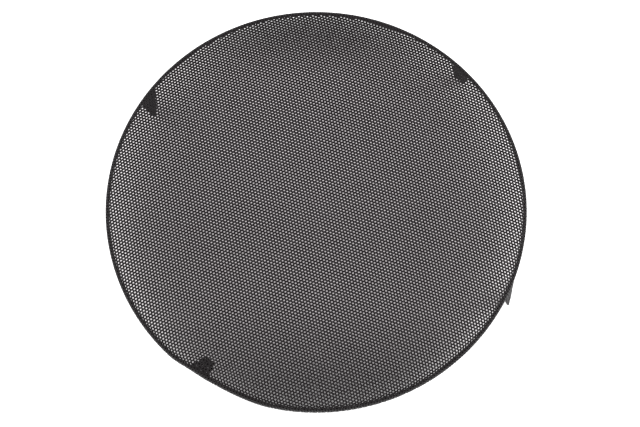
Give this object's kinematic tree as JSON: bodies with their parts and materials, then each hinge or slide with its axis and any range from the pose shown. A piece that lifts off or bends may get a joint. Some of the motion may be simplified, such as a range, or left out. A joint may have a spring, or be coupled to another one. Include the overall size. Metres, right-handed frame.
{
  "type": "car speaker grille",
  "caption": "Round domed speaker grille of perforated steel with a rolled edge, a short skirt and bend tabs.",
  "frame": {"origin": "centre of the skirt's lower edge, the plane that sits on the panel", "axes": "+Z out of the listening side along the disc's axis, +X right, +Y back"},
  "size_m": [0.178, 0.178, 0.0201],
  "materials": {
    "coated_steel": "satin-matt black coat on perforated steel"
  },
  "bodies": {
    "grille": {"perforated_face": "coated_steel", "rolled_rim": "coated_steel"},
    "tab_back_right": {"tab_back_right": "coated_steel"},
    "tab_back_left": {"tab_back_left": "coated_steel"},
    "tab_front_left": {"tab_front_left": "coated_steel"},
    "tab_front_right": {"tab_front_right": "coated_steel"}
  },
  "joints": [
    {"name": "tab_back_right_bend", "type": "hinge", "parent": "grille", "child": "tab_back_right", "pos_m": [0.06257, 0.06257, -0.00045], "axis": [-0.7071, 0.7071, 0], "range_deg": [-15.5, 89.5]},
    {"name": "tab_back_left_bend", "type": "hinge", "parent": "grille", "child": "tab_back_left", "pos_m": [-0.07266, 0.0505, -0.00045], "axis": [-0.5707, -0.8211, 0], "range_deg": [-43, 62]},
    {"name": "tab_front_left_bend", "type": "hinge", "parent": "grille", "child": "tab_front_left", "pos_m": [-0.04889, -0.07248, -0.00045], "axis": [0.829, -0.5592, 0], "range_deg": [-75, 30]},
    {"name": "tab_front_right_bend", "type": "hinge", "parent": "grille", "child": "tab_front_right", "pos_m": [0.08058, -0.03655, -0.00045], "axis": [0.4131, 0.9107, 0], "range_deg": [-7, 98]}
  ]
}
